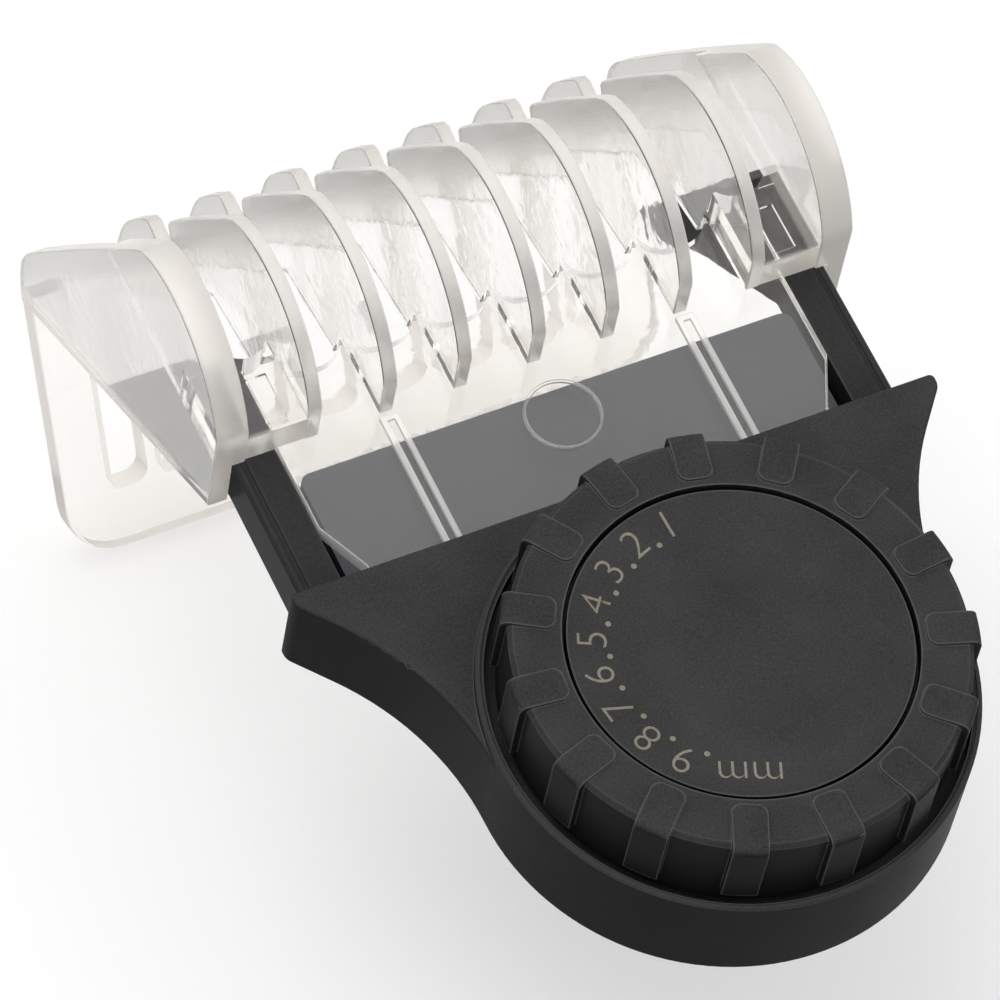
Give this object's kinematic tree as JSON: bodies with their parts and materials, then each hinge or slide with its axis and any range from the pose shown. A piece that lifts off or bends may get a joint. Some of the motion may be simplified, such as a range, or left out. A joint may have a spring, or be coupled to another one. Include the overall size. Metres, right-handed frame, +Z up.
{
  "type": "hair clipper guide comb",
  "caption": "Clear adjustable guide comb with curved fins and a slotted front flap, sliding from a black carriage with a numbered dial.",
  "frame": {"origin": "on the dial's axis, in the plane of the carriage's underside", "axes": "+X across the comb, +Y the way the comb slides out, +Z up along the dial's axis"},
  "size_m": [0.0482, 0.0763, 0.05],
  "materials": {
    "black_shell": "fine matte texture",
    "black_base": "smooth satin",
    "black_arm": "smooth satin",
    "black_dial": "fine matte texture",
    "black_cap": "fine matte texture, printed numbers",
    "clear_comb": "clear, polished",
    "white_gear": "natural acetal",
    "steel": "plated steel",
    "brass": "turned"
  },
  "bodies": {
    "carriage": {"housing_shell": "black_shell", "base_plate": "black_base", "guide_arm_right": "black_arm", "guide_arm_left": "black_arm", "base_screw_1": "steel", "base_screw_2": "steel", "base_screw_3": "steel", "base_screw_4": "steel", "pivot_bush": "brass", "spring_washer": "steel", "stop_pin": "steel", "thrust_washer": "steel", "pivot_screw": "steel"},
    "dial": {"dial_knob": "black_dial", "dial_cap": "black_cap", "dial_pinion": "white_gear"},
    "comb": {"comb_plate": "clear_comb", "comb_tooth_1": "clear_comb", "comb_tooth_2": "clear_comb", "comb_tooth_3": "clear_comb", "comb_tooth_4": "clear_comb", "comb_tooth_5": "clear_comb", "comb_tooth_6": "clear_comb", "comb_tooth_7": "clear_comb", "comb_cheek_right": "clear_comb", "comb_cheek_left": "clear_comb", "comb_flap": "clear_comb", "drive_rack": "white_gear", "rack_stud_1": "white_gear", "rack_stud_2": "white_gear"}
  },
  "joints": [
    {"name": "dial_turn", "type": "hinge", "parent": "carriage", "child": "dial", "pos_m": [0, 0, 0.006], "axis": [0, 0, 1], "range_deg": [-127.33, 0]},
    {"name": "comb_slide", "type": "slide", "parent": "carriage", "child": "comb", "axis": [0, 1, 0], "range_m": [0, 0.008]}
  ],
  "couplings": [
    {"joint": "dial_turn", "follows": "comb_slide", "rad_per_m": -277.78}
  ]
}
